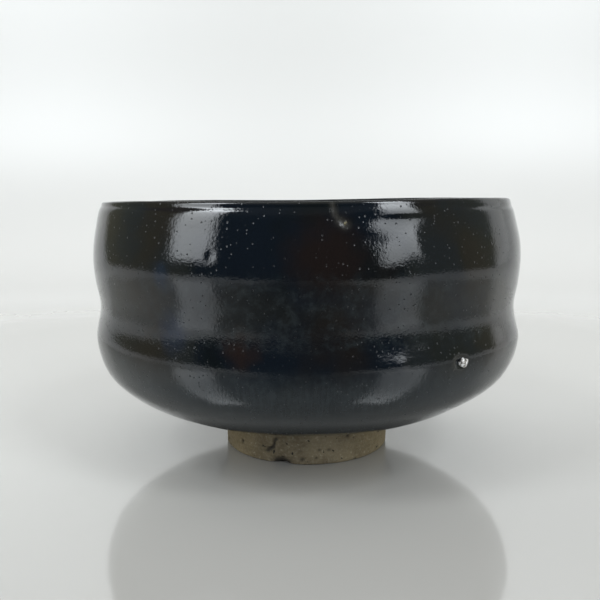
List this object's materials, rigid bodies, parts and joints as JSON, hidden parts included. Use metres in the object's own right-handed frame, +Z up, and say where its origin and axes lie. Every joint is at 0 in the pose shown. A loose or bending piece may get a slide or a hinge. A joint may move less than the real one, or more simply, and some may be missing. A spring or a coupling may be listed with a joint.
{
  "type": "tea bowl",
  "caption": "Low hand-thrown tea bowl with a waisted wall, black gloss glaze inside and out, and a bare clay foot ring.",
  "frame": {"origin": "middle of the foot's flat underside, below the middle of the bowl", "axes": "+Z up along the bowl's turning axis; -Y is the bowl's front, the side with the two stone grains; +X is the right of that side"},
  "size_m": [0.1209, 0.1201, 0.0721],
  "materials": {
    "bare_clay": "unglazed sandy stoneware, rough",
    "foot_clay": "unglazed sandy stoneware, buff to grey-brown, rough, with small chips and dark specks",
    "outer_black_glaze": "black iron glaze, glossy, blue-black with olive brown where thin, faint orange peel and pinholes",
    "inner_black_glaze": "black iron glaze, glossy, pooled a little thicker on the floor",
    "white_stone": "burst feldspar grain, glassy white",
    "yellow_stone": "half-melted pale yellow grain"
  },
  "bodies": {
    "root": {"clay_body": "bare_clay", "foot_ring": "foot_clay", "outer_glaze": "outer_black_glaze", "inner_glaze": "inner_black_glaze", "belly_stone": "white_stone", "rim_stone": "yellow_stone"}
  },
  "joints": []
}
